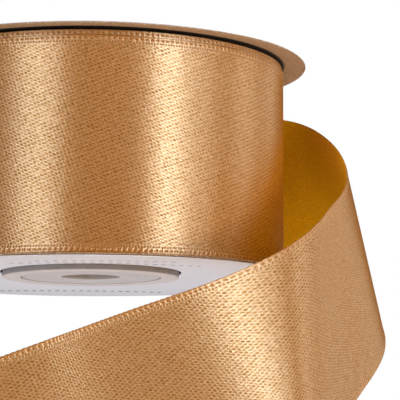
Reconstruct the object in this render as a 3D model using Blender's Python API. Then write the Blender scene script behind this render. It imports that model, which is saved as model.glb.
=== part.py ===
"""Ribbon spool: a card reel of 50 mm satin ribbon with its free end pulled off and bent round the front.

Units are metres and +Z runs up the reel's axis. The origin lies on the ring that the reel stands on, the
bottom end of the core tube, at the ring's point nearest -Y. The reel's axis is AXIS_Y behind it.
"""

import math

import bmesh
import bpy
import numpy as np
from mathutils import Vector

MM = 0.001

# Ribbon
RIBBON_WIDTH = 50.0 * MM
RIBBON_THICKNESS = 0.3 * MM
GAP = 0.3 * MM

# Reel, all heights counted from the plane that both the rim and the core tube's end lie in
FLANGE_RADIUS = 53.5 * MM
BOARD = 0.35 * MM
LABEL = 0.25 * MM
GLUE_LINE = 0.15 * MM
STACK = LABEL + GLUE_LINE + BOARD
CLEAR_HEIGHT = 52.55 * MM
REEL_HEIGHT = CLEAR_HEIGHT + 2 * STACK
BOTTOM_DISH = 1.4 * MM
TOP_LABEL_MARGIN = 2.0 * MM

# The top flange is flat as far as this radius, and from there its rim turns down a little
TOP_FLAT_RADIUS = 48.0 * MM
TOP_RIM_DROP = 0.55 * MM

# Core tube and the plugs in its two ends
CORE_OUTER = 21.9 * MM
CORE_INNER = 17.4 * MM
PLUG_RADIUS = CORE_INNER - GAP
PLUG_DEPTH = 3.0 * MM
PLUG_RECESS = 0.2 * MM
SPINDLE_HOLE = 7.3 * MM

# Tape that holds the ribbon's start on the core
TAPE_THICKNESS = 0.15 * MM
TAPE_HEIGHT = 40.0 * MM
TAPE_ARC = math.radians(100)
TAPE_INNER = CORE_OUTER + GAP

# Wound pack, and the last turn of ribbon, which has slipped down to the bottom flange
PACK_INNER = TAPE_INNER + TAPE_THICKNESS + GAP
TURN_OUTER = 47.9 * MM
TURN_INNER = TURN_OUTER - RIBBON_THICKNESS
PACK_OUTER = TURN_INNER - GAP
PACK_BOTTOM = STACK + BOTTOM_DISH + 0.45 * MM
TURN_BOTTOM = STACK + 0.55 * MM
TAIL_BOTTOM = TURN_BOTTOM + 0.25 * MM

# Free end: where it leaves the roll, counted anticlockwise from +X, and how long it is
TAKE_OFF = math.radians(113)
TAIL_START = 2.0 * MM
LOOP_HINGE = 70.0 * MM
TIP_HINGE = 300.0 * MM
TAIL_LENGTH = 330.0 * MM
HINGE_GAP = 0.4 * MM
TAIL_STEP = 1.0 * MM
TAIL_STEPS_PER_FACE = 3

# How the free end bends. Each row is a distance along the ribbon in mm, its curvature there in 1/m, and
# the slant of the bend line across it: 0 is square to the edges, 1 leans 45 degrees along the ribbon.
TAIL_BENDS = (
    (0, 0, 0.0),
    (40, 5, 0.0),
    (60, 36, 0.3),
    (75, 40, 0.45),
    (90, 22, 0.3),
    (110, 8, 0.0),
    (130, 8, -0.2),
    (150, 16, -0.35),
    (175, -5, 0.0),
    (195, 16, 0.4),
    (206, 42, 0.2),
    (220, 15, -0.1),
    (235, 0, -0.1),
    (250, -8, 0.0),
    (265, 6, 0.2),
    (330, 3, 0.1),
)

AXIS_Y = (CORE_OUTER + CORE_INNER) / 2
REEL_AXIS = Vector((0.0, AXIS_Y, 0.0))
RING_STEPS = 96
SMOOTH_BELOW = math.radians(30)


def clear_scene():
    for old in list(bpy.data.objects):
        bpy.data.objects.remove(old, do_unlink=True)


def make_material(name, colour, roughness, metallic=0.0):
    material = bpy.data.materials.new(name)
    material.use_nodes = True
    shader = material.node_tree.nodes["Principled BSDF"]
    shader.inputs["Base Color"].default_value = (*colour, 1.0)
    shader.inputs["Roughness"].default_value = roughness
    shader.inputs["Metallic"].default_value = metallic
    material.diffuse_color = (*colour, 1.0)
    return material


def add_object(name, shape, location, material):
    """Turns a bmesh into a named object with outward faces and smooth round walls."""
    bmesh.ops.recalc_face_normals(shape, faces=shape.faces)
    mesh = bpy.data.meshes.new(name)
    shape.to_mesh(mesh)
    shape.free()
    mesh.shade_smooth()
    mesh.set_sharp_from_angle(angle=SMOOTH_BELOW)
    mesh.materials.append(material)
    piece = bpy.data.objects.new(name, mesh)
    piece.location = location
    bpy.context.collection.objects.link(piece)
    return piece


def add_empty(name, location):
    empty = bpy.data.objects.new(name, None)
    empty.empty_display_size = 10 * MM
    empty.location = location
    bpy.context.collection.objects.link(empty)
    return empty


def attach(child, parent):
    """Parents child to parent and keeps child where it stands."""
    child.location = child.location - parent.location
    child.parent = parent


def add_ring(name, outline, material):
    """Turns a closed outline of (radius, height) points through a full circle about the reel's axis."""
    shape = bmesh.new()
    corners = [shape.verts.new((radius, 0.0, height)) for radius, height in outline]
    edges = [shape.edges.new((a, b)) for a, b in zip(corners, corners[1:] + corners[:1])]
    bmesh.ops.spin(
        shape,
        geom=corners + edges,
        cent=(0, 0, 0),
        axis=(0, 0, 1),
        angle=math.tau,
        steps=RING_STEPS,
        use_merge=True,
    )
    return add_object(name, shape, REEL_AXIS, material)


def box_outline(inner, outer, bottom, top):
    return [(inner, bottom), (outer, bottom), (outer, top), (inner, top)]


def dish(radius):
    """How far the bottom flange is drawn up at this radius: nothing at the rim, BOTTOM_DISH at the core."""
    return BOTTOM_DISH * (FLANGE_RADIUS - radius) / (FLANGE_RADIUS - CORE_OUTER)


def dished_outline(inner, outer, below, thickness):
    return [
        (inner, dish(inner) + below),
        (outer, dish(outer) + below),
        (outer, dish(outer) + below + thickness),
        (inner, dish(inner) + below + thickness),
    ]


def turned_down_outline(inner, outer, bottom, thickness):
    """A flat disc whose rim drops, by TOP_RIM_DROP at the flange's radius."""
    drop = TOP_RIM_DROP * (outer - TOP_FLAT_RADIUS) / (FLANGE_RADIUS - TOP_FLAT_RADIUS)
    return [
        (inner, bottom),
        (TOP_FLAT_RADIUS, bottom),
        (outer, bottom - drop),
        (outer, bottom - drop + thickness),
        (TOP_FLAT_RADIUS, bottom + thickness),
        (inner, bottom + thickness),
    ]


def add_flanges(board):
    hole = CORE_OUTER + GAP
    bottom = dished_outline(hole, FLANGE_RADIUS, LABEL + GLUE_LINE, BOARD)
    top = turned_down_outline(hole, FLANGE_RADIUS, STACK + CLEAR_HEIGHT, BOARD)
    return [add_ring("bottom_flange", bottom, board), add_ring("top_flange", top, board)]


def add_labels(paper):
    hole = CORE_OUTER + 2 * GAP
    bottom = dished_outline(hole, FLANGE_RADIUS - GAP, 0.0, LABEL)
    top = turned_down_outline(hole, FLANGE_RADIUS - TOP_LABEL_MARGIN, REEL_HEIGHT - LABEL, LABEL)
    return [add_ring("bottom_label", bottom, paper), add_ring("top_label", top, paper)]


def add_core(tube_paper, plug_board):
    tube = box_outline(CORE_INNER, CORE_OUTER, 0.0, REEL_HEIGHT)
    pieces = [add_ring("core_tube", tube, tube_paper)]
    for name, start in (
        ("bottom_plug", PLUG_RECESS),
        ("top_plug", REEL_HEIGHT - PLUG_RECESS - PLUG_DEPTH),
    ):
        outline = box_outline(SPINDLE_HOLE, PLUG_RADIUS, start, start + PLUG_DEPTH)
        pieces.append(add_ring(name, outline, plug_board))
    return pieces


def add_start_tape(film):
    """A patch of tape bent round part of the core, under the first turn."""
    shape = bmesh.new()
    bottom = (REEL_HEIGHT - TAPE_HEIGHT) / 2
    outline = box_outline(TAPE_INNER, TAPE_INNER + TAPE_THICKNESS, bottom, bottom + TAPE_HEIGHT)
    section = shape.faces.new([shape.verts.new((radius, 0.0, height)) for radius, height in outline])
    steps = round(RING_STEPS * TAPE_ARC / math.tau)
    bmesh.ops.spin(
        shape,
        geom=[section],
        cent=(0, 0, 0),
        axis=(0, 0, 1),
        angle=TAPE_ARC,
        steps=steps,
        use_merge=False,
    )
    return add_object("start_tape", shape, REEL_AXIS, film)


def add_wound_ribbon(satin):
    pack = box_outline(PACK_INNER, PACK_OUTER, PACK_BOTTOM, PACK_BOTTOM + RIBBON_WIDTH)
    turn = box_outline(TURN_INNER, TURN_OUTER, TURN_BOTTOM, TURN_BOTTOM + RIBBON_WIDTH)
    return add_ring("ribbon_roll", pack, satin), add_ring("outer_turn", turn, satin)


def smooth_curve(knots, values, at):
    """Piecewise cubic through the values, level at each peak and dip, so that it never overshoots."""
    slope = np.diff(values) / np.diff(knots)
    tangent = np.zeros(len(knots))
    for i in range(1, len(knots) - 1):
        before, after = slope[i - 1], slope[i]
        if before * after > 0:
            tangent[i] = 2 * before * after / (before + after)
    span = np.clip(np.searchsorted(knots, at, side="right") - 1, 0, len(knots) - 2)
    length = knots[span + 1] - knots[span]
    t = (at - knots[span]) / length
    return (
        (2 * t**3 - 3 * t**2 + 1) * values[span]
        + (t**3 - 2 * t**2 + t) * length * tangent[span]
        + (3 * t**2 - 2 * t**3) * values[span + 1]
        + (t**3 - t**2) * length * tangent[span + 1]
    )


def turn_about(vector, axis, angle):
    return (
        vector * math.cos(angle)
        + np.cross(axis, vector) * math.sin(angle)
        + axis * np.dot(axis, vector) * (1 - math.cos(angle))
    )


class Tail:
    """The free end as a flat strip bent without stretching.

    It starts as a tangent to the roll and is followed in small steps. At each one the strip turns about
    its bend line, which runs from the top edge to the bottom edge.
    """

    def __init__(self):
        self.distance = np.arange(0.0, TAIL_LENGTH + TAIL_STEP / 2, TAIL_STEP)
        knots, curvature, slant = np.array(TAIL_BENDS, float).T
        self.curvature = smooth_curve(knots * MM, curvature, self.distance)
        self.slant = smooth_curve(knots * MM, slant, self.distance)
        self.follow()

    def follow(self):
        outward = np.array([math.cos(TAKE_OFF), math.sin(TAKE_OFF), 0.0])
        inward = -outward
        along = np.array([outward[1], -outward[0], 0.0])
        down = np.array([0.0, 0.0, -1.0])
        radius = TURN_OUTER + GAP + RIBBON_THICKNESS / 2
        place = np.array(REEL_AXIS) + outward * radius
        place[2] = TAIL_BOTTOM + RIBBON_WIDTH / 2
        self.middle, self.inward, self.bend_line = [place], [inward], [down]
        for i in range(len(self.distance) - 1):
            bend = (self.curvature[i] + self.curvature[i + 1]) / 2
            lean = (self.slant[i] + self.slant[i + 1]) / 2
            axis = down + lean * along
            length = np.linalg.norm(axis)
            angle = bend * TAIL_STEP * length
            before = along
            along, inward, down = (turn_about(v, axis / length, angle) for v in (along, inward, down))
            place = place + (before + along) / 2 * TAIL_STEP
            self.middle.append(place)
            self.inward.append(inward)
            self.bend_line.append(down + self.slant[i + 1] * along)
        self.middle = np.array(self.middle)
        self.inward = np.array(self.inward)
        self.bend_line = np.array(self.bend_line)

    def at(self, distance, values):
        return np.array([np.interp(distance, self.distance, values[:, k]) for k in range(3)])

    def corners(self, distance):
        """The strip's four corners at a distance: outside top and bottom, then inside bottom and top."""
        middle = self.at(distance, self.middle)
        across = self.at(distance, self.bend_line) * RIBBON_WIDTH / 2
        inward = self.at(distance, self.inward) * RIBBON_THICKNESS / 2
        top, bottom = middle - across, middle + across
        return [top - inward, bottom - inward, bottom + inward, top + inward]


def add_tail_link(name, tail, start, end, pivot, satin):
    """One stiff link of the free end, between two distances along it."""
    shape = bmesh.new()
    spacing = TAIL_STEP * TAIL_STEPS_PER_FACE
    count = max(2, math.ceil((end - start) / spacing))
    rings = []
    for i in range(count + 1):
        distance = start + (end - start) * i / count
        rings.append([shape.verts.new(Vector(c) - pivot) for c in tail.corners(distance)])
    for here, there in zip(rings, rings[1:]):
        for k in range(4):
            shape.faces.new((here[k], here[(k + 1) % 4], there[(k + 1) % 4], there[k]))
    shape.faces.new(rings[0])
    shape.faces.new(rings[-1])
    bmesh.ops.triangulate(shape, faces=shape.faces)
    return add_object(name, shape, pivot, satin)


def add_tail(satin, turn, outer_turn):
    """The three links of the free end, each hinged on the bend line where it meets the one before."""
    tail = Tail()
    loop_pivot = Vector(tail.at(LOOP_HINGE, tail.middle))
    tip_pivot = Vector(tail.at(TIP_HINGE, tail.middle))
    half = HINGE_GAP / 2
    lead = add_tail_link("tail_lead", tail, TAIL_START, LOOP_HINGE - half, REEL_AXIS, satin)
    front = add_tail_link("tail_front", tail, LOOP_HINGE + half, TIP_HINGE - half, loop_pivot, satin)
    tip = add_tail_link("tail_tip", tail, TIP_HINGE + half, TAIL_LENGTH, tip_pivot, satin)
    attach(tip, front)
    for piece in (outer_turn, lead, front):
        attach(piece, turn)


def build():
    clear_scene()
    board = make_material("kraft_board", (0.42, 0.25, 0.13), 0.85)
    paper = make_material("label_paper", (0.62, 0.57, 0.58), 0.7)
    tube_paper = make_material("tube_paper", (0.62, 0.57, 0.58), 0.8)
    plug_board = make_material("plug_board", (0.46, 0.42, 0.43), 0.85)
    film = make_material("tape_film", (0.75, 0.68, 0.50), 0.3)
    satin = make_material("satin_gold", (0.52, 0.26, 0.09), 0.35)

    reel = add_empty("reel", REEL_AXIS)
    turn = add_empty("tail_turn", REEL_AXIS)
    roll, outer_turn = add_wound_ribbon(satin)
    reel_pieces = add_flanges(board) + add_labels(paper) + add_core(tube_paper, plug_board)
    for piece in reel_pieces + [add_start_tape(film), roll]:
        attach(piece, reel)
    add_tail(satin, turn, outer_turn)


build()
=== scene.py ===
"""Looks of the ribbon spool: satin ribbon on a card reel, its free end pulled off and bent round the front.

Lengths are metres in the frame of the solids: +Z is the reel's axis, and the origin lies on the ring that the
reel stands on. Each ribbon piece carries a UV map in millimetres: U runs along the ribbon, and V runs across
it from its middle line towards its bottom edge.
"""

import math

import bpy
import numpy as np
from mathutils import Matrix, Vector


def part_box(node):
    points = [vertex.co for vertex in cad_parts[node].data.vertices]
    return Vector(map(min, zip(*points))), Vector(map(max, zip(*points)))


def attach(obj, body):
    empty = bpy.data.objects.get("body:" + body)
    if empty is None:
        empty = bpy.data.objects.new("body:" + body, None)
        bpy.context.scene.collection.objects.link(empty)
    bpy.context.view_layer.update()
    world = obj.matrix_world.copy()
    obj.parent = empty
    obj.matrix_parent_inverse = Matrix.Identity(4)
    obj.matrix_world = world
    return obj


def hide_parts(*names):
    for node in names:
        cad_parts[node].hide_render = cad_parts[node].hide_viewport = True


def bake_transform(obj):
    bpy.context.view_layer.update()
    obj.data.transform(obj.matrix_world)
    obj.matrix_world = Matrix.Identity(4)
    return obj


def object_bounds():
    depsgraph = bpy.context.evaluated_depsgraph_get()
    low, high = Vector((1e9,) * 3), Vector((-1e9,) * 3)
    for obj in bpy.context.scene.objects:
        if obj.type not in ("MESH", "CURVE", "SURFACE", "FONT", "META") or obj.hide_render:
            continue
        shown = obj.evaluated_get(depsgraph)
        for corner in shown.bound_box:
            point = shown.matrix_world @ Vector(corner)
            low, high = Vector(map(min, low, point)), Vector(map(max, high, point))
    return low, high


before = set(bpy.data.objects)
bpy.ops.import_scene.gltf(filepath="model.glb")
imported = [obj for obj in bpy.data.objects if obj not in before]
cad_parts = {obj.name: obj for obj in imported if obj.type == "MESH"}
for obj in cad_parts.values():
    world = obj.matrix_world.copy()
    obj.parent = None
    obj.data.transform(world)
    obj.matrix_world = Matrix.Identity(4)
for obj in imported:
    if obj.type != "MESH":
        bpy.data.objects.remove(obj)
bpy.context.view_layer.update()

MM = 0.001
WEAVE = "weave"


def reach(node):
    """A round solid's smallest and largest radius, and its lowest and highest z."""
    points = np.array([v.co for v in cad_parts[node].data.vertices])
    radius = np.hypot(points[:, 0], points[:, 1] - AXIS_Y)
    return radius.min(), radius.max(), points[:, 2].min(), points[:, 2].max()


low_corner, high_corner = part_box("core_tube")
AXIS_Y = (low_corner.y + high_corner.y) / 2
CORE_INNER, CORE_OUTER, CORE_FOOT, REEL_HEIGHT = reach("core_tube")
FLANGE_HOLE, FLANGE_RADIUS, _, TOP_BOARD_HIGH = reach("top_flange")
LABEL_HOLE, LABEL_RADIUS, LABEL_LOW, _ = reach("bottom_label")
TOP_LABEL_HOLE, TOP_LABEL_RADIUS, _, TOP_LABEL_HIGH = reach("top_label")
SPINDLE_HOLE, PLUG_RADIUS, BOTTOM_PLUG_LOW, BOTTOM_PLUG_HIGH = reach("bottom_plug")
TOP_PLUG_LOW, TOP_PLUG_HIGH = reach("top_plug")[2:]
PACK_INNER, PACK_OUTER, PACK_LOW, PACK_HIGH = reach("ribbon_roll")
TURN_INNER, TURN_OUTER, TURN_LOW, _ = reach("outer_turn")
BOTTOM_BOARD_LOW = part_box("bottom_flange")[0].z

# Board, paper and ribbon, in the same sizes as the solids
BOARD = 0.35 * MM
LABEL = 0.25 * MM
RIBBON_WIDTH = 50.0 * MM
RIBBON_THICKNESS = 0.3 * MM
GAP = 0.3 * MM
BOTTOM_DISH = 1.4 * MM
TOP_FLAT_RADIUS = 48.0 * MM
TOP_RIM_DROP = 0.55 * MM
TAKE_OFF = math.radians(113)
TAIL_MIDDLE_HEIGHT = 26.55 * MM
TAIL_LENGTH = 330.0 * MM
PLUG_PRESS = 0.2 * MM
# From the hinge to where the loop is stiff, in a direction that the rest of the ribbon stays clear of
TIP_START = 285.0 * MM
RIBBON_STEP = 0.2 * MM
EDGE_ROUND = 0.28 * MM
TURN_LAP = 40.0 * MM
TURN_RAMP = 45.0 * MM
PACK_RIDGES = 40
PACK_STEP = 0.12 * MM

# How the free end bends: distance along it in mm, curvature in 1/m, slant of the bend line across it.
TAIL_BENDS = (
    (0, 0, 0.0),
    (40, 5, 0.0),
    (60, 36, 0.3),
    (75, 40, 0.45),
    (90, 22, 0.3),
    (110, 8, 0.0),
    (130, 8, -0.2),
    (150, 16, -0.35),
    (175, -5, 0.0),
    (195, 16, 0.4),
    (206, 42, 0.2),
    (220, 15, -0.1),
    (235, 0, -0.1),
    (250, -8, 0.0),
    (265, 6, 0.2),
    (330, 3, 0.1),
)


# ---------------------------------------------------------------- materials


class Graph:
    """One material's nodes. Each method adds a node and returns its output socket."""

    def __init__(self, name):
        self.material = bpy.data.materials.new(name)
        self.material.use_nodes = True
        self.tree = self.material.node_tree
        self.shader = self.tree.nodes["Principled BSDF"]

    def feed(self, socket, value):
        if isinstance(value, bpy.types.NodeSocket):
            self.tree.links.new(value, socket)
        elif isinstance(value, tuple) and len(value) == 3 and socket.type == "RGBA":
            socket.default_value = (*value, 1.0)
        else:
            socket.default_value = value

    def node(self, kind, inputs=None, **settings):
        made = self.tree.nodes.new(kind)
        for key, value in settings.items():
            setattr(made, key, value)
        for key, value in (inputs or {}).items():
            self.feed(made.inputs[key], value)
        return made

    def math(self, operation, *values, clamp=False):
        made = self.node("ShaderNodeMath", operation=operation, use_clamp=clamp)
        for socket, value in zip(made.inputs, values):
            self.feed(socket, value)
        return made.outputs[0]

    def add(self, a, b):
        return self.math("ADD", a, b)

    def times(self, a, b):
        return self.math("MULTIPLY", a, b)

    def less(self, a, b):
        return self.math("SUBTRACT", a, b)

    def rise(self, value, low, high):
        """0 below low, 1 above high and smooth between them; low above high turns it round."""
        swap = low > high
        inputs = {"Value": value, "From Min": min(low, high), "From Max": max(low, high)}
        if swap:
            inputs.update({"To Min": 1.0, "To Max": 0.0})
        return self.node("ShaderNodeMapRange", inputs, interpolation_type="SMOOTHSTEP").outputs[0]

    def span(self, value, low, high):
        """Moves a 0 to 1 value to low to high."""
        return self.math("MULTIPLY_ADD", value, high - low, low)

    def ridge(self, value, centre, half_width):
        """1 at the centre, falling to 0 at half_width on both sides."""
        return self.rise(self.math("ABSOLUTE", self.less(value, centre)), half_width, 0.0)

    def wave(self, value, period, shift=0.0):
        """A cosine from 0 to 1 along value."""
        turn = self.math("MULTIPLY_ADD", value, math.tau / period, shift)
        return self.math("MULTIPLY_ADD", self.math("COSINE", turn), 0.5, 0.5)

    def vector(self, x, y, z=0.0):
        return self.node("ShaderNodeCombineXYZ", {"X": x, "Y": y, "Z": z}).outputs[0]

    def parts(self, vector):
        return self.node("ShaderNodeSeparateXYZ", {"Vector": vector}).outputs[:3]

    def vector_math(self, operation, *values):
        made = self.node("ShaderNodeVectorMath", operation=operation)
        for socket, value in zip(made.inputs, values):
            self.feed(socket, value)
        return made.outputs

    def dot(self, vector, x, y):
        return self.vector_math("DOT_PRODUCT", vector, (x, y, 0.0))["Value"]

    def noise(self, vector, scale, detail=2.0, roughness=0.5):
        inputs = {"Vector": vector, "Scale": scale, "Detail": detail, "Roughness": roughness}
        return self.node("ShaderNodeTexNoise", inputs).outputs[0]

    def mix(self, factor, a, b, blend="MIX"):
        made = self.node("ShaderNodeMix", data_type="RGBA", blend_type=blend)
        self.feed(made.inputs[0], factor)
        self.feed(made.inputs[6], a)
        self.feed(made.inputs[7], b)
        return made.outputs[2]

    def tint(self, colour, amount):
        """colour made lighter or darker by a number near 1."""
        return self.mix(1.0, colour, self.vector(amount, amount, amount), "MULTIPLY")

    def bump(self, height, distance):
        inputs = {"Height": height, "Distance": distance, "Strength": 1.0}
        return self.node("ShaderNodeBump", inputs).outputs[0]

    def uv(self):
        return self.parts(self.node("ShaderNodeUVMap", uv_map=WEAVE).outputs[0])[:2]

    def place(self):
        """Position in the piece, in metres."""
        return self.node("ShaderNodeTexCoord").outputs["Object"]

    def finish(self, **inputs):
        for key, value in inputs.items():
            self.feed(self.shader.inputs[key.replace("_", " ")], value)
        return self.material


# Satin binding points lie on a lattice: two steps of it along and across the ribbon, in mm.
LATTICE_A = (0.783, 0.296)
LATTICE_B = (-0.266, 0.808)
DOT_HALF_LENGTH = 0.84
DOT_HALF_WIDTH = 0.40
DOT_LEAN = math.radians(-16)
DOT_SCATTER = 0.20

# Light that a hollow sends back, against what the floats do
HOLLOW_TINT = (0.95, 0.70, 0.36)

# The selvedge, in mm from the ribbon's edge: an edge cord of twisted yarn, then a row of dark pits
CORD_PLACE = 0.76
CORD_HALF_WIDTH = 0.50
CORD_PERIOD = 1.26
CORD_SLANT = 0.35
PIT_PLACE = 1.55
PIT_HALF_WIDTH = 0.42
PIT_PERIOD = 0.70
SELVEDGE = 2.0


def binding_dots(g, u, v):
    """1 in the small hollows where the warp dips under the weft, 0 on the floats between them."""
    where = g.vector(u, v)
    loose = g.node("ShaderNodeTexNoise", {"Vector": where, "Scale": 0.8, "Detail": 2.0}).outputs[1]
    x, y, _ = g.parts(loose)
    u = g.add(u, g.math("MULTIPLY_ADD", x, 2 * DOT_SCATTER, -DOT_SCATTER))
    v = g.add(v, g.math("MULTIPLY_ADD", y, 2 * DOT_SCATTER, -DOT_SCATTER))
    where = g.vector(u, v)
    (ax, ay), (bx, by) = LATTICE_A, LATTICE_B
    area = ax * by - ay * bx
    steps = g.vector(g.dot(where, by / area, -bx / area), g.dot(where, -ay / area, ax / area))
    half = (0.5, 0.5, 0.5)
    inside = g.vector_math("WRAP", steps, half, (-0.5, -0.5, -0.5))[0]
    cell = g.vector_math("ADD", g.vector_math("SUBTRACT", steps, inside)[0], half)[0]
    cell = g.vector_math("SNAP", cell, (1.0, 1.0, 1.0))[0]
    own = g.node("ShaderNodeTexWhiteNoise", {"Vector": cell})
    ex, ey = math.cos(DOT_LEAN), math.sin(DOT_LEAN)
    along = g.dot(inside, (ax * ex + ay * ey) / DOT_HALF_LENGTH, (bx * ex + by * ey) / DOT_HALF_LENGTH)
    across = g.dot(inside, (ay * ex - ax * ey) / DOT_HALF_WIDTH, (by * ex - bx * ey) / DOT_HALF_WIDTH)
    far = g.math("SQRT", g.add(g.times(along, along), g.times(across, across)))
    return g.times(g.rise(far, 1.1, 0.0), g.span(own.outputs["Value"], 0.6, 1.1))


def satin(name, face, deep, gloss_tint, ior, roughness, contrast, relief, anisotropy):
    """Woven satin: floats and binding dots, yarn streaks, and a corded selvedge along both edges, with
    painted shade in its hollows.
    """
    g = Graph(name)
    u, v = g.uv()
    edge = g.less(RIBBON_WIDTH / MM / 2, g.math("ABSOLUTE", v))
    cloth = g.rise(edge, SELVEDGE - 0.2, SELVEDGE + 0.2)
    patchy = g.noise(g.vector(u, v), 0.45, 2.0)
    dots = g.times(binding_dots(g, u, v), g.span(patchy, 0.75, 1.25))
    pits = g.rise(g.add(g.wave(u, PIT_PERIOD), g.span(g.noise(g.vector(u, v), 1.3), -0.4, 0.4)), 0.35, 0.8)
    pit_row = g.times(g.ridge(edge, PIT_PLACE, PIT_HALF_WIDTH), g.span(pits, 0.35, 1.0))
    twist = g.rise(g.wave(g.add(u, g.times(edge, CORD_SLANT)), CORD_PERIOD), 0.15, 0.85)
    cord = g.times(g.ridge(edge, CORD_PLACE, CORD_HALF_WIDTH), twist)
    gaps = g.times(g.ridge(edge, CORD_PLACE, CORD_HALF_WIDTH), g.less(1.0, twist))
    outer = g.rise(edge, 0.30, 0.05)
    dark = g.math("MAXIMUM", g.times(gaps, 0.7), g.math("MAXIMUM", pit_row, g.times(outer, 0.6)))
    hollow = g.math("MAXIMUM", g.times(dots, cloth), dark, clamp=True)
    yarns = g.noise(g.vector(g.times(u, 0.35), g.times(v, 3.2)), 1.0, 2.0)
    broad = g.noise(g.vector(g.times(u, 0.05), g.times(v, 0.05)), 1.0, 2.0)
    floats = g.noise(g.vector(g.times(u, 1.3), g.times(v, 3.0)), 1.0, 2.0, 0.6)
    lively = g.add(g.span(yarns, -0.25, 0.25), g.span(floats, -0.70, 0.70))
    # Painted shade: the binding hollows, the selvedge's pits and the gaps between cord twists are drawn
    # towards the darker deep colour, besides being sunk by the bump; the last 0.3 mm of the edge is drawn
    # darker too.
    colour = g.mix(g.times(hollow, contrast), face, deep)
    colour = g.tint(colour, g.math("MULTIPLY_ADD", lively, 0.8, 1.0))
    colour = g.tint(colour, g.span(broad, 0.94, 1.06))
    colour = g.tint(colour, g.span(cord, 1.0, 1.05))
    shine = g.less(g.math("MULTIPLY_ADD", lively, 0.6, 0.5), g.times(hollow, 0.22))
    shine = g.less(shine, g.times(g.rise(edge, CORD_PLACE + CORD_HALF_WIDTH, CORD_PLACE), 0.12))
    height = g.less(g.add(g.times(floats, 0.7), g.times(cord, 0.6)), hollow)
    normal = g.bump(height, relief * MM)
    tangent = g.node("ShaderNodeTangent", direction_type="UV_MAP", uv_map=WEAVE).outputs[0]
    dull = g.math("MULTIPLY_ADD", hollow, 0.10, roughness)
    shaded_tint = tuple(c * k for c, k in zip(gloss_tint, HOLLOW_TINT))
    return g.finish(
        Base_Color=colour,
        Roughness=g.add(dull, g.span(floats, -0.03, 0.03)),
        IOR=ior,
        Specular_IOR_Level=g.math("MAXIMUM", shine, 0.04),
        Specular_Tint=g.mix(hollow, gloss_tint, shaded_tint),
        Anisotropic=anisotropy,
        Anisotropic_Rotation=0.25,
        Tangent=tangent,
        Normal=normal,
    )


def wound_edges(name, face, deep):
    """The stack of turns seen from its end: V of the map is the radius in mm."""
    g = Graph(name)
    u, v = g.uv()
    turns = g.wave(v, 0.62)
    uneven = g.noise(g.vector(g.times(u, 0.12), g.times(v, 2.5)), 1.0, 3.0)
    colour = g.tint(g.mix(turns, deep, face), g.span(uneven, 0.7, 1.25))
    height = g.add(turns, g.times(uneven, 0.6))
    return g.finish(Base_Color=colour, Roughness=0.62, Normal=g.bump(height, 0.12 * MM))


def from_axis(g, place):
    """Distance from the reel's axis, in metres."""
    x, y, _ = g.parts(place)
    y = g.less(y, AXIS_Y)
    return g.math("SQRT", g.add(g.times(x, x), g.times(y, y)))


def kraft(name, colour, light, grain, edge=False):
    """Uncoated kraft board: fibres and flecks, drawn nearly black over the wound ribbon as painted shade; its
    cut edge is speckled.
    """
    g = Graph(name)
    place = g.place()
    fine = g.noise(place, 1400.0, 3.0, 0.6)
    flecks = g.rise(g.noise(place, 2600.0 if edge else 1500.0, 2.0, 0.7), 0.54, 0.66)
    clouds = g.noise(place, 60.0, 3.0)
    x, y, z = g.parts(place)
    fibres = g.noise(g.vector(g.times(x, 900.0), g.times(y, 260.0), g.times(z, 2600.0)), 1.0, 3.0)
    base = g.tint(colour, g.span(clouds, 0.86, 1.14))
    base = g.tint(base, g.span(fibres, 0.8, 1.2))
    base = g.mix(g.times(flecks, 0.8 if edge else 0.45), base, light)
    # Painted shade: inside the ribbon's outer radius the board is drawn nearly black, for the shadow in the
    # narrow gap between board and ribbon.
    painted_gap_shade = g.rise(from_axis(g, place), PACK_OUTER + 1.4 * MM, PACK_OUTER + 0.4 * MM)
    base = g.tint(base, g.span(painted_gap_shade, 1.0, 0.06))
    height = g.add(g.times(fine, 0.6), g.add(fibres, g.times(flecks, 0.8)))
    return g.finish(
        Base_Color=base,
        Roughness=g.span(fine, 0.72, 0.95),
        Specular_IOR_Level=0.25,
        Normal=g.bump(height, grain * MM),
    )


# Rows of generic dashes on the label, in mm from the reel's axis: middle x, middle y, half length, slope
PRINT_ROWS = (
    (5.0, -33.8, 17.5, 0.03),
    (4.5, -24.5, 23.0, 0.10),
    (-6.0, 41.5, 23.0, 0.10),
)
DASH_PERIOD = 2.1
ROW_HALF_HEIGHT = 1.35


def printed_dashes(g, place):
    x, y, _ = g.parts(place)
    x = g.times(x, 1 / MM)
    y = g.times(g.less(y, AXIS_Y), 1 / MM)
    total = None
    for i, (mid_x, mid_y, half, slope) in enumerate(PRINT_ROWS):
        off = g.less(g.less(y, mid_y), g.times(g.less(x, mid_x), slope))
        row = g.ridge(off, 0.0, ROW_HALF_HEIGHT)
        within = g.rise(g.math("ABSOLUTE", g.less(x, mid_x)), half, half - 0.4)
        uneven = g.noise(g.vector(x, i * 9.7), 0.55, 1.0)
        dash = g.rise(g.add(g.wave(x, DASH_PERIOD, i), g.span(uneven, -0.5, 0.5)), 0.42, 0.62)
        mark = g.times(g.times(row, within), dash)
        total = mark if total is None else g.math("MAXIMUM", total, mark)
    return total


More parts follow.
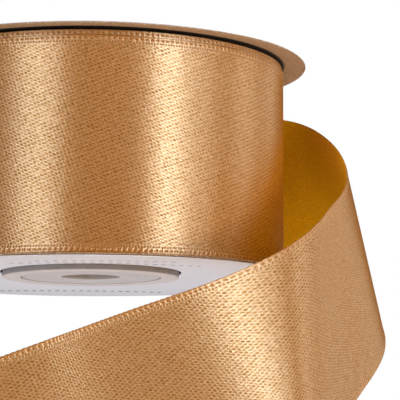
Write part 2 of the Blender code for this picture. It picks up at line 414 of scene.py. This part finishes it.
def paper(name, white, ink, grain, printed, edge_wear):
    """Coated white paper with faint mottling, worn grey towards its outer edge."""
    g = Graph(name)
    place = g.place()
    clouds = g.noise(place, 45.0, 3.0)
    pores = g.noise(place, 1800.0, 2.0, 0.6)
    colour = g.tint(white, g.span(clouds, 0.96, 1.04))
    colour = g.tint(colour, g.span(pores, 0.97, 1.03))
    if edge_wear:
        rim = g.rise(from_axis(g, place), FLANGE_RADIUS - 1.6 * MM, FLANGE_RADIUS - 0.2 * MM)
        worn = g.times(rim, g.rise(g.noise(place, 500.0, 3.0), 0.45, 0.75))
        colour = g.mix(g.times(worn, 0.35), colour, (0.52, 0.42, 0.36))
    if printed:
        colour = g.mix(printed_dashes(g, place), colour, ink)
    return g.finish(
        Base_Color=colour,
        Roughness=g.span(pores, 0.5, 0.66),
        Specular_IOR_Level=0.4,
        Normal=g.bump(g.add(pores, g.times(clouds, 2.0)), grain * MM),
    )


def tube_card(name, colour, dark, ring_pitch):
    """Grey card in thin layers that show as fine rings on a cut end."""
    g = Graph(name)
    place = g.place()
    wander = g.times(g.noise(place, 300.0, 2.0), 0.3 * MM)
    rings = g.wave(g.add(from_axis(g, place), wander), ring_pitch * MM)
    clouds = g.noise(place, 220.0, 3.0)
    pits = g.rise(g.noise(place, 1300.0, 2.0), 0.6, 0.72)
    base = g.mix(g.times(rings, 0.35), colour, dark)
    base = g.tint(base, g.span(clouds, 0.84, 1.14))
    base = g.mix(g.times(pits, 0.5), base, dark)
    height = g.less(g.add(rings, clouds), pits)
    return g.finish(
        Base_Color=base, Roughness=g.span(clouds, 0.7, 0.9), Normal=g.bump(height, 0.05 * MM)
    )


def film(name):
    """Clear yellowed tape with faint stretch lines."""
    g = Graph(name)
    x, y, z = g.parts(g.place())
    lines = g.noise(g.vector(g.times(x, 60.0), g.times(y, 60.0), g.times(z, 2400.0)), 1.0, 2.0)
    colour = g.tint((0.72, 0.62, 0.42), g.span(lines, 0.88, 1.12))
    return g.finish(
        Base_Color=colour, Roughness=g.span(lines, 0.15, 0.32), Normal=g.bump(lines, 0.03 * MM)
    )


SATIN_FACE = satin(
    "satin_face", (0.41, 0.135, 0.005), (0.18, 0.052, 0.002), (1.0, 0.95, 0.74), 4.5, 0.46, 0.85, 0.040, 0.99
)
SATIN_BACK = satin(
    "satin_back", (0.84, 0.41, 0.006), (0.64, 0.29, 0.005), (1.0, 0.60, 0.15), 1.25, 0.62, 0.5, 0.02, 0.30
)
SATIN_STACK = wound_edges("satin_stack", (0.42, 0.19, 0.055), (0.12, 0.045, 0.010))
KRAFT = kraft("kraft_board", (0.52, 0.345, 0.205), (0.78, 0.59, 0.40), 0.035)
KRAFT_EDGE = kraft("kraft_edge", (0.32, 0.19, 0.105), (0.74, 0.56, 0.38), 0.08, edge=True)
LABEL_PAPER = paper("label_paper", (0.67, 0.675, 0.75), (0.09, 0.085, 0.09), 0.02, True, True)
TOP_PAPER = paper("top_label_paper", (0.67, 0.675, 0.75), (0.22, 0.20, 0.21), 0.02, True, False)
TUBE_END = tube_card("tube_end", (0.62, 0.575, 0.585), (0.36, 0.33, 0.33), 0.62)
# Painted shade: the tube's walls use the same grey card as its cut end, drawn much darker for the shade that
# falls on the wall beside the label.
SHADED_TUBE_WALL = tube_card("shaded_tube_wall", (0.33, 0.33, 0.35), (0.22, 0.22, 0.23), 0.9)
PLUG_CARD = tube_card("plug_card", (0.50, 0.475, 0.50), (0.42, 0.395, 0.41), 2.4)
PLUG_BORE = tube_card("plug_bore", (0.55, 0.54, 0.56), (0.40, 0.39, 0.40), 0.8)
TAPE = film("tape_film")


# ---------------------------------------------------------------- shapes


def grid_object(name, points, slots, u_lines, v_lines, closed, sharp=35):
    """A closed surface from rows of points. Each row is a loop round the section; slots gives the material
    of each column, u_lines a U for each row line and v_lines a V for each column line."""
    rows, columns = points.shape[:2]
    spans = rows if closed else rows - 1
    i = np.repeat(np.arange(spans), columns)
    j = np.tile(np.arange(columns), spans)
    next_i, next_j = (i + 1) % rows, (j + 1) % columns
    faces = np.stack(
        [i * columns + j, next_i * columns + j, next_i * columns + next_j, i * columns + next_j], 1
    )
    u = np.stack([u_lines[i], u_lines[i + 1], u_lines[i + 1], u_lines[i]], 1)
    v = np.stack([v_lines[j], v_lines[j], v_lines[j + 1], v_lines[j + 1]], 1)
    material = np.array(slots, int)[j]
    if not closed:
        half = columns // 2
        k = np.arange(half)
        for row, flip in ((0, False), (rows - 1, True)):
            cap = np.stack([k, k + 1, (columns - k - 1) % columns, (columns - k) % columns], 1)
            cap = cap[:, ::-1] if flip else cap
            faces = np.vstack([faces, cap + row * columns])
            u = np.vstack([u, np.full(cap.shape, u_lines[row])])
            v = np.vstack([v, v_lines[cap]])
            material = np.concatenate([material, np.full(half, max(slots))])
    flat = points.reshape(-1, 3)
    a, b, c, d = (flat[faces[:, k]] for k in range(4))
    volume = np.einsum("ij,ij->", a, np.cross(b, c)) + np.einsum("ij,ij->", a, np.cross(c, d))
    if volume < 0:
        faces, u, v = faces[:, ::-1], u[:, ::-1], v[:, ::-1]
    solid = [tuple(dict.fromkeys(face)) for face in faces.tolist()]
    keep = [k for k, face in enumerate(solid) if len(face) > 2]
    mesh = bpy.data.meshes.new(name)
    mesh.from_pydata(flat.tolist(), [], [solid[k] for k in keep])
    layer = mesh.uv_layers.new(name=WEAVE)
    coordinates = []
    for k in keep:
        seen = set()
        for corner in range(4):
            if faces[k, corner] not in seen:
                seen.add(faces[k, corner])
                coordinates += [u[k, corner], v[k, corner]]
    layer.data.foreach_set("uv", coordinates)
    mesh.polygons.foreach_set("material_index", material[keep].astype(np.int32))
    mesh.shade_smooth()
    mesh.set_sharp_from_angle(angle=math.radians(sharp))
    made = bpy.data.objects.new(name, mesh)
    bpy.context.scene.collection.objects.link(made)
    return made


def dress(piece, *materials):
    for material in materials:
        piece.data.materials.append(material)
    return piece


def ripple(angle, seed, waves, amplitude):
    """A smooth closed curve round the reel: a few waves with random phases."""
    draw = np.random.RandomState(seed)
    total = np.zeros_like(angle)
    for count in waves:
        total += np.cos(count * angle + draw.uniform(0, math.tau)) * draw.uniform(0.5, 1.0)
    return total * amplitude / len(waves)


def turned(name, outline, slots, steps, lift=None, swell=None):
    """Turns a closed outline of (radius, height) points about the reel's axis. lift and swell take the angle
    and the radius of each point and give how far it moves up and out."""
    outline = np.array(outline)
    angle = np.arange(steps) / steps * math.tau
    grid_angle, radius = np.meshgrid(angle, outline[:, 0], indexing="ij")
    height = np.broadcast_to(outline[:, 1], radius.shape).copy()
    if lift is not None:
        height += lift(grid_angle, radius)
    if swell is not None:
        radius = radius + swell(grid_angle, height)
    points = np.stack(
        [radius * np.cos(grid_angle), AXIS_Y + radius * np.sin(grid_angle), height], -1
    )
    u_lines = np.arange(steps + 1) / steps * math.tau * outline[:, 0].max() / MM
    v_lines = np.append(outline[:, 0], outline[0, 0]) / MM
    return grid_object(name, points, slots, u_lines, v_lines, True)


def rounded(corners, radius, steps=3):
    """A closed outline with every corner cut by a small arc."""
    points = []
    for k, corner in enumerate(corners):
        corner = np.array(corner)
        before = np.array(corners[k - 1]) - corner
        after = np.array(corners[(k + 1) % len(corners)]) - corner
        reach_back = min(radius, np.linalg.norm(before) * 0.45)
        reach_on = min(radius, np.linalg.norm(after) * 0.45)
        start = corner + before / np.linalg.norm(before) * reach_back
        end = corner + after / np.linalg.norm(after) * reach_on
        for t in np.linspace(0, 1, steps + 1):
            points.append(tuple((1 - t) ** 2 * start + 2 * t * (1 - t) * corner + t**2 * end))
    return points


def ring_corners(inner, outer, low, high):
    return [(inner, low), (outer, low), (outer, high), (inner, high)]


def dish(radius):
    """How far the bottom flange is drawn up at this radius."""
    return BOTTOM_DISH * np.clip((FLANGE_RADIUS - radius) / (FLANGE_RADIUS - CORE_OUTER), 0, 1)


def rim_drop(radius):
    """How far the top flange's rim turns down at this radius, below its flat middle."""
    share = np.clip((radius - TOP_FLAT_RADIUS) / (FLANGE_RADIUS - TOP_FLAT_RADIUS), 0, 1)
    return -TOP_RIM_DROP * share


def disc_outline(inner, outer, low, high, bend):
    """A flat ring's outline with points across both faces; bend lifts it as a function of radius."""
    across = np.append(np.linspace(inner, TOP_FLAT_RADIUS, 8), np.linspace(TOP_FLAT_RADIUS, outer, 4)[1:])
    under = [(r, low + bend(r)) for r in across]
    over = [(r, high + bend(r)) for r in across[::-1]]
    soft = min(0.12 * MM, (high - low) * 0.35)
    under[-1:] = [(outer - soft, low + bend(outer)), (outer, low + soft + bend(outer))]
    over[:1] = [(outer, high - soft + bend(outer)), (outer - soft, high + bend(outer))]
    return under + over, len(across) - 1


def flutter(seed):
    """A lift that grows towards the rim: card and paper are never quite flat."""

    def lift(angle, radius):
        share = np.clip((radius - CORE_OUTER) / (FLANGE_RADIUS - CORE_OUTER), 0, 1) ** 2
        return share * ripple(angle, seed, (2, 3, 5, 8), 0.10 * MM)

    return lift


def uneven_cut(seed):
    """A swell that makes a cut edge uneven."""
    return lambda angle, height: ripple(angle, seed, (97, 143, 211, 263, 331), 0.06 * MM)


def add_reel_piece(piece, node):
    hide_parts(node)
    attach(piece, "reel")


def add_boards():
    """The two card discs. Their rims are a little wavy and their cut edges rough."""
    for name, node, low, bend, seed in (
        ("board_bottom", "bottom_flange", BOTTOM_BOARD_LOW, dish, 3),
        ("board_top", "top_flange", TOP_BOARD_HIGH - BOARD, rim_drop, 5),
    ):
        outline, rim = disc_outline(FLANGE_HOLE, FLANGE_RADIUS, low, low + BOARD, bend)
        slots = [0] * len(outline)
        slots[rim : rim + 3] = [1, 1, 1]
        piece = turned(name, outline, slots, 1440, flutter(seed), uneven_cut(seed + 20))
        add_reel_piece(dress(piece, KRAFT, KRAFT_EDGE), node)


def add_labels():
    """The printed paper faces glued on the two discs."""
    under = (LABEL_HOLE, LABEL_RADIUS, LABEL_LOW, LABEL_LOW + LABEL, dish)
    over = (TOP_LABEL_HOLE, TOP_LABEL_RADIUS, TOP_LABEL_HIGH - LABEL, TOP_LABEL_HIGH, rim_drop)
    for name, node, sizes, seed, look in (
        ("label_bottom", "bottom_label", under, 3, LABEL_PAPER),
        ("label_top", "top_label", over, 5, TOP_PAPER),
    ):
        outline, _ = disc_outline(*sizes)
        piece = turned(name, outline, [0] * len(outline), 720, flutter(seed))
        add_reel_piece(dress(piece, look), node)


def add_core():
    """The card tube and the pressed plugs in its two ends."""
    outline = rounded(ring_corners(CORE_INNER, CORE_OUTER, CORE_FOOT, REEL_HEIGHT), 0.35 * MM)
    middle = (CORE_INNER + CORE_OUTER) / 2
    end = [abs(r - middle) < (CORE_OUTER - CORE_INNER) / 2 - 0.02 * MM for r, _ in outline]
    slots = [0 if end[k] and end[(k + 1) % len(end)] else 1 for k in range(len(end))]
    piece = turned("tube", outline, slots, 360)
    add_reel_piece(dress(piece, TUBE_END, SHADED_TUBE_WALL), "core_tube")
    for name, node, low, high in (
        ("plug_bottom", "bottom_plug", BOTTOM_PLUG_LOW, BOTTOM_PLUG_HIGH),
        ("plug_top", "top_plug", TOP_PLUG_LOW, TOP_PLUG_HIGH),
    ):
        corners = ring_corners(SPINDLE_HOLE, PLUG_RADIUS + PLUG_PRESS, low, high)
        outline = rounded(corners, 0.5 * MM, 4)
        bore = [r < SPINDLE_HOLE + 0.3 * MM for r, _ in outline]
        slots = [1 if bore[k] and bore[(k + 1) % len(bore)] else 0 for k in range(len(bore))]
        piece = dress(turned(name, outline, slots, 240), PLUG_CARD, PLUG_BORE)
        add_reel_piece(piece, node)


# ---------------------------------------------------------------- ribbon

# Lines along the ribbon, in mm from its edge
EDGE_COLUMNS = (
    *(0.0, 0.06, 0.14, 0.26, 0.42, 0.58, 0.74, 0.92, 1.10, 1.26, 1.40, 1.55, 1.70, 1.86),
    *(2.1, 3.5, 9.0, 17.0, 25.0),
)
CORD_RELIEF = 0.09 * MM
PIT_DEPTH = 0.07 * MM
EDGE_SCALLOP = 0.05 * MM


def section():
    """The ribbon's cut shape, once round it: V from the middle line, and +1 outside or -1 inside."""
    half = [RIBBON_WIDTH / 2 - d * MM for d in EDGE_COLUMNS]
    across = [-h for h in half] + half[-2::-1]
    outside = [(v, 1.0) for v in across]
    inside = [(v, -1.0) for v in across[-2:0:-1]]
    return np.array(outside + inside)


SECTION = section()


def selvedge_relief(along, edge):
    """How far the cord stands up and the pits sink, from the distances along and in from the edge in mm."""
    cord = np.exp(-(((edge - CORD_PLACE) / (CORD_HALF_WIDTH * 0.6)) ** 2))
    twist = 0.5 + 0.5 * np.cos(math.tau * (along + edge * CORD_SLANT) / CORD_PERIOD)
    row = np.exp(-(((edge - PIT_PLACE) / (PIT_HALF_WIDTH * 0.5)) ** 2))
    pit = np.clip(np.cos(math.tau * along / PIT_PERIOD) * 1.4 - 0.1, 0, 1)
    return CORD_RELIEF * cord * twist - PIT_DEPTH * row * pit


def ribbon_points(middle, outward, across, distance):
    """Points of the ribbon's surface: rows along it, one section in each."""
    v, side = SECTION[:, 0], SECTION[:, 1]
    edge = RIBBON_WIDTH / 2 - np.abs(v)
    far_in = 1 - np.clip(edge / EDGE_ROUND, 0, 1)
    thickness = RIBBON_THICKNESS / 2 * np.sqrt(1 - far_in**2)
    along = distance[:, None] / MM
    relief = selvedge_relief(along, edge / MM)
    height = side * (thickness + relief * np.where(edge > 0, 1, 0))
    side_shift = np.where(v < 0, 0.0, 1.7)
    scallop = EDGE_SCALLOP * np.cos(math.tau * along / CORD_PERIOD) * np.exp(-edge / (0.3 * MM))
    wander = 0.06 * MM * np.cos(along / 5.3 + side_shift) * np.exp(-edge / (2 * MM))
    offset = v + np.sign(v) * (scallop + wander)
    return (
        middle[:, None, :]
        + across[:, None, :] * offset[..., None]
        + outward[:, None, :] * height[..., None]
    )


def ribbon_piece(name, middle, outward, across, distance):
    """A length of ribbon with the gloss on its outward side."""
    points = ribbon_points(middle, outward, across, distance)
    outside = SECTION[:, 1] > 0
    slots = np.where(outside & np.roll(outside, -1), 0, 1)
    u_lines = np.append(distance, distance[-1]) / MM
    v_lines = np.append(SECTION[:, 0], SECTION[0, 0]) / MM
    piece = grid_object(name, points, slots, u_lines, v_lines, False, sharp=60)
    return dress(piece, SATIN_FACE, SATIN_BACK)


def smooth_curve(knots, values, at):
    """Piecewise cubic through the values, level at each peak and dip."""
    slope = np.diff(values) / np.diff(knots)
    tangent = np.zeros(len(knots))
    for i in range(1, len(knots) - 1):
        before, after = slope[i - 1], slope[i]
        if before * after > 0:
            tangent[i] = 2 * before * after / (before + after)
    span = np.clip(np.searchsorted(knots, at, side="right") - 1, 0, len(knots) - 2)
    length = knots[span + 1] - knots[span]
    t = (at - knots[span]) / length
    return (
        (2 * t**3 - 3 * t**2 + 1) * values[span]
        + (t**3 - 2 * t**2 + t) * length * tangent[span]
        + (3 * t**2 - 2 * t**3) * values[span + 1]
        + (t**3 - t**2) * length * tangent[span + 1]
    )


def turn_about(vector, axis, angle):
    """vector turned by angle about a unit axis."""
    return (
        vector * math.cos(angle)
        + np.cross(axis, vector) * math.sin(angle)
        + axis * np.dot(axis, vector) * (1 - math.cos(angle))
    )


def free_end():
    """The middle line, outward direction and bend line of the free end, at steps along it."""
    distance = np.arange(0.0, TAIL_LENGTH + RIBBON_STEP / 2, RIBBON_STEP)
    knots, curvature, slant = np.array(TAIL_BENDS, float).T
    curvature = smooth_curve(knots * MM, curvature, distance)
    slant = smooth_curve(knots * MM, slant, distance)
    outward = np.array([math.cos(TAKE_OFF), math.sin(TAKE_OFF), 0.0])
    along = np.array([outward[1], -outward[0], 0.0])
    down = np.array([0.0, 0.0, -1.0])
    place = outward * (TURN_OUTER + GAP + RIBBON_THICKNESS / 2)
    place = place + np.array([0.0, AXIS_Y, TAIL_MIDDLE_HEIGHT])
    middle, out, across = [place], [outward], [down + slant[0] * along]
    for i in range(len(distance) - 1):
        bend = (curvature[i] + curvature[i + 1]) / 2
        lean = (slant[i] + slant[i + 1]) / 2
        axis = down + lean * along
        length = np.linalg.norm(axis)
        angle = bend * RIBBON_STEP * length
        before = along
        along, outward, down = (turn_about(x, axis / length, angle) for x in (along, outward, down))
        place = place + (before + along) / 2 * RIBBON_STEP
        middle.append(place)
        out.append(outward)
        across.append(down + slant[i + 1] * along)
    return distance, np.array(middle), np.array(out), np.array(across)


def last_turn():
    """The outermost turn: it starts under the free end's take-off, goes once round and climbs to it."""
    radius = TURN_INNER + RIBBON_THICKNESS / 2
    whole = math.tau * radius
    distance = np.arange(-round((whole + TURN_LAP) / RIBBON_STEP), 1) * RIBBON_STEP
    angle = TAKE_OFF - distance / radius
    end = TURN_OUTER + GAP + RIBBON_THICKNESS / 2
    near = np.clip(1 + distance / TURN_RAMP, 0, 1)
    near = near * near * (3 - 2 * near)
    lap = np.clip((-distance - whole) / TURN_LAP, 0, 1)
    reel_radius = radius + (end - radius) * near - 0.12 * MM * lap
    reel_radius = reel_radius + (1 - near) * ripple(angle, 8, (7, 11, 16), 0.03 * MM)
    height = (TURN_LOW + RIBBON_WIDTH / 2) * (1 - near) + TAIL_MIDDLE_HEIGHT * near
    outward = np.stack([np.cos(angle), np.sin(angle), np.zeros_like(angle)], -1)
    middle = outward * reel_radius[:, None]
    middle[:, 1] += AXIS_Y
    middle[:, 2] = height
    across = np.broadcast_to(np.array([0.0, 0.0, -1.0]), middle.shape)
    return distance, middle, outward, across


def add_ribbon():
    """The last turn, the free end across its loop, and the free end's tip."""
    distance, middle, outward, across = last_turn()
    turn = ribbon_piece("ribbon_turn", middle, outward, across, distance)
    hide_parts("outer_turn")
    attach(turn, "tail_turn")

    distance, middle, outward, across = free_end()

    def at(value):
        return tuple(middle[round(value / RIBBON_STEP)])

    cut = round(TIP_START / RIBBON_STEP)
    tail = ribbon_piece("ribbon_tail", *(x[: cut + 1] for x in (middle, outward, across, distance)))
    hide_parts("tail_lead", "tail_front")
    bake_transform(tail)
    tip = ribbon_piece("ribbon_tip", *(x[cut:] for x in (middle, outward, across, distance)))
    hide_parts("tail_tip")
    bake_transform(tip)


def add_pack():
    """The wound turns under the last one: one turn's face outside, the stacked edges at both ends."""
    outer = TURN_INNER - 0.06 * MM
    steps = round(math.tau * outer / RIBBON_STEP)
    across = SECTION[SECTION[:, 1] > 0][:, 0]
    height = PACK_HIGH - RIBBON_WIDTH / 2 - across
    edge = RIBBON_WIDTH / 2 - np.abs(across)
    far_in = 1 - np.clip(edge / EDGE_ROUND, 0, 1)
    wall = outer - RIBBON_THICKNESS / 2 * (1 - np.sqrt(1 - far_in**2))
    pitch = (outer - RIBBON_THICKNESS - PACK_INNER) / PACK_RIDGES
    ridges = [(outer - RIBBON_THICKNESS - pitch * k / 2, k % 2) for k in range(2 * PACK_RIDGES + 1)]
    draw = np.random.RandomState(11)
    drop = draw.uniform(0.0, 0.3, len(ridges)) * MM
    top = [(r, PACK_HIGH - 0.10 * MM - drop[k] - PACK_STEP * up) for k, (r, up) in enumerate(ridges)]
    bottom = [(r, PACK_LOW + drop[k] * 0.5 + PACK_STEP * up) for k, (r, up) in enumerate(ridges)]
    outline = np.array(bottom[::-1] + list(zip(wall[::-1], height[::-1])) + top)
    slots = [1] * len(bottom) + [0] * (len(wall) - 1) + [1] * (len(top) + 1)
    angle = np.arange(steps) / steps * math.tau
    along = angle[:, None] * outer / MM
    radius = np.broadcast_to(outline[:, 0], (steps, len(outline))).copy()
    z = np.broadcast_to(outline[:, 1], radius.shape).copy()
    first, last = len(bottom), len(bottom) + len(wall)
    radius[:, first:last] += selvedge_relief(-along, edge[::-1] / MM)
    points = np.stack(
        [radius * np.cos(angle)[:, None], AXIS_Y + radius * np.sin(angle)[:, None], z], -1
    )
    v_lines = np.where(
        np.array(slots) == 0,
        (PACK_HIGH - RIBBON_WIDTH / 2 - outline[:, 1]) / MM,
        outline[:, 0] / MM,
    )
    v_lines[last - 1] = -RIBBON_WIDTH / 2 / MM
    u_lines = -np.arange(steps + 1) / steps * math.tau * outer / MM
    v_lines = np.append(v_lines, v_lines[0])
    piece = grid_object("ribbon_pack", points, slots, u_lines, v_lines, True, sharp=60)
    add_reel_piece(dress(piece, SATIN_FACE, SATIN_STACK), "ribbon_roll")


add_boards()
add_labels()
add_core()
add_pack()
add_ribbon()

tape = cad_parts["start_tape"]
tape.data.materials.clear()
tape.data.materials.append(TAPE)


# ---------------------------------------------------------------- studio

FLOOR_CLEARANCE = 0.5 * MM
FLOOR_SIZE = 8.0
AIM_HEIGHT = 0.03

# The camera stands below the reel's foot and looks up at it
CAMERA_PLACE = (0.02709, -0.47109, -0.04646)
CAMERA_LENS = 178.48
CAMERA_PITCH = math.radians(90 + 7.677)
CAMERA_ROLL = math.radians(-0.154)


def add_floor(height):
    """A plain, pale painted floor."""
    bpy.ops.mesh.primitive_grid_add(
        x_subdivisions=8, y_subdivisions=8, size=FLOOR_SIZE, location=(0, 0, height)
    )
    floor = bpy.context.object
    floor.name = "floor"
    g = Graph("floor_paint")
    grain = g.noise(g.place(), 3.0, 2.0)
    paint = g.tint((0.86, 0.855, 0.85), g.span(grain, 0.985, 1.015))
    floor.data.materials.append(g.finish(Base_Color=paint, Roughness=0.9))


def add_lamp(name, azimuth, distance, height, width, tall, power, colour):
    """A soft rectangular lamp. Azimuth is 0 on the camera's side of the reel and positive to its right."""
    data = bpy.data.lights.new(name, "AREA")
    data.shape = "RECTANGLE"
    data.size, data.size_y = width, tall
    data.energy = power
    data.color = colour
    lamp = bpy.data.objects.new(name, data)
    turn = math.radians(azimuth)
    lamp.location = (distance * math.sin(turn), AXIS_Y - distance * math.cos(turn), height)
    target = Vector((0, AXIS_Y, AIM_HEIGHT))
    lamp.rotation_euler = (target - lamp.location).to_track_quat("-Z", "Y").to_euler()
    lamp.visible_camera = False
    bpy.context.scene.collection.objects.link(lamp)


def add_lamps(floor_height):
    """Tall soft boxes round the reel, whose bands of light the satin shows, and weak fill lamps."""
    tall = 1.3
    neutral = (1.0, 0.98, 0.96)
    cool = (1.0, 0.99, 0.98)
    white = (1.0, 1.0, 1.0)
    add_lamp("strip_left", -29, 1.0, 0.10, 0.42, tall, 9.8, (1.0, 0.97, 0.95))
    add_lamp("strip_right", 50, 1.0, 0.10, 0.28, tall, 7.2, (1.0, 0.985, 0.96))
    add_lamp("strip_outer", 70, 1.0, 0.10, 0.30, tall, 2.8, neutral)
    add_lamp("side_right", 104, 1.0, 0.10, 0.35, tall, 2.6, neutral)
    add_lamp("back_right", 133, 1.0, 0.10, 0.30, tall, 1.7, neutral)
    add_lamp("side_left", -92, 1.0, 0.10, 0.45, tall, 2.5, cool)
    add_lamp("back", -165, 1.1, 0.25, 0.80, 1.1, 3.5, cool)
    add_lamp("low_right", 44, 0.45, -0.06, 0.12, 0.05, 0.50, (1.0, 0.98, 0.94))
    add_lamp("under", 0, 0.001, floor_height + 0.01, 0.085, 0.085, 0.040, white)
    add_lamp("overhead", 180, 0.25, 1.4, 1.4, 1.4, 2.2, white)


def add_sky():
    """A faint blue-white sky for the object, and plain white where the camera looks past it."""
    world = bpy.data.worlds.new("studio")
    bpy.context.scene.world = world
    world.use_nodes = True
    tree = world.node_tree
    sky = tree.nodes["Background"]
    sky.inputs["Color"].default_value = (0.93, 0.95, 1.0, 1.0)
    sky.inputs["Strength"].default_value = 0.05
    seen = tree.nodes.new("ShaderNodeBackground")
    seen.inputs["Color"].default_value = (1.0, 1.0, 1.0, 1.0)
    seen.inputs["Strength"].default_value = 1.0
    path = tree.nodes.new("ShaderNodeLightPath")
    choose = tree.nodes.new("ShaderNodeMixShader")
    tree.links.new(path.outputs["Is Camera Ray"], choose.inputs[0])
    tree.links.new(sky.outputs[0], choose.inputs[1])
    tree.links.new(seen.outputs[0], choose.inputs[2])
    tree.links.new(choose.outputs[0], tree.nodes["World Output"].inputs["Surface"])
    bpy.context.scene.view_settings.view_transform = "Standard"


def add_camera():
    data = bpy.data.cameras.new("camera")
    data.sensor_width = 36.0
    data.lens = CAMERA_LENS
    data.clip_start = 0.02
    camera = bpy.data.objects.new("camera", data)
    camera.location = CAMERA_PLACE
    camera.rotation_mode = "XYZ"
    camera.rotation_euler = (CAMERA_PITCH, 0.0, 0.0)
    camera.rotation_euler.rotate_axis("Z", -CAMERA_ROLL)
    bpy.context.scene.collection.objects.link(camera)
    bpy.context.scene.camera = camera


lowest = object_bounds()[0].z
add_floor(lowest - FLOOR_CLEARANCE)
add_lamps(lowest)
add_sky()
add_camera()
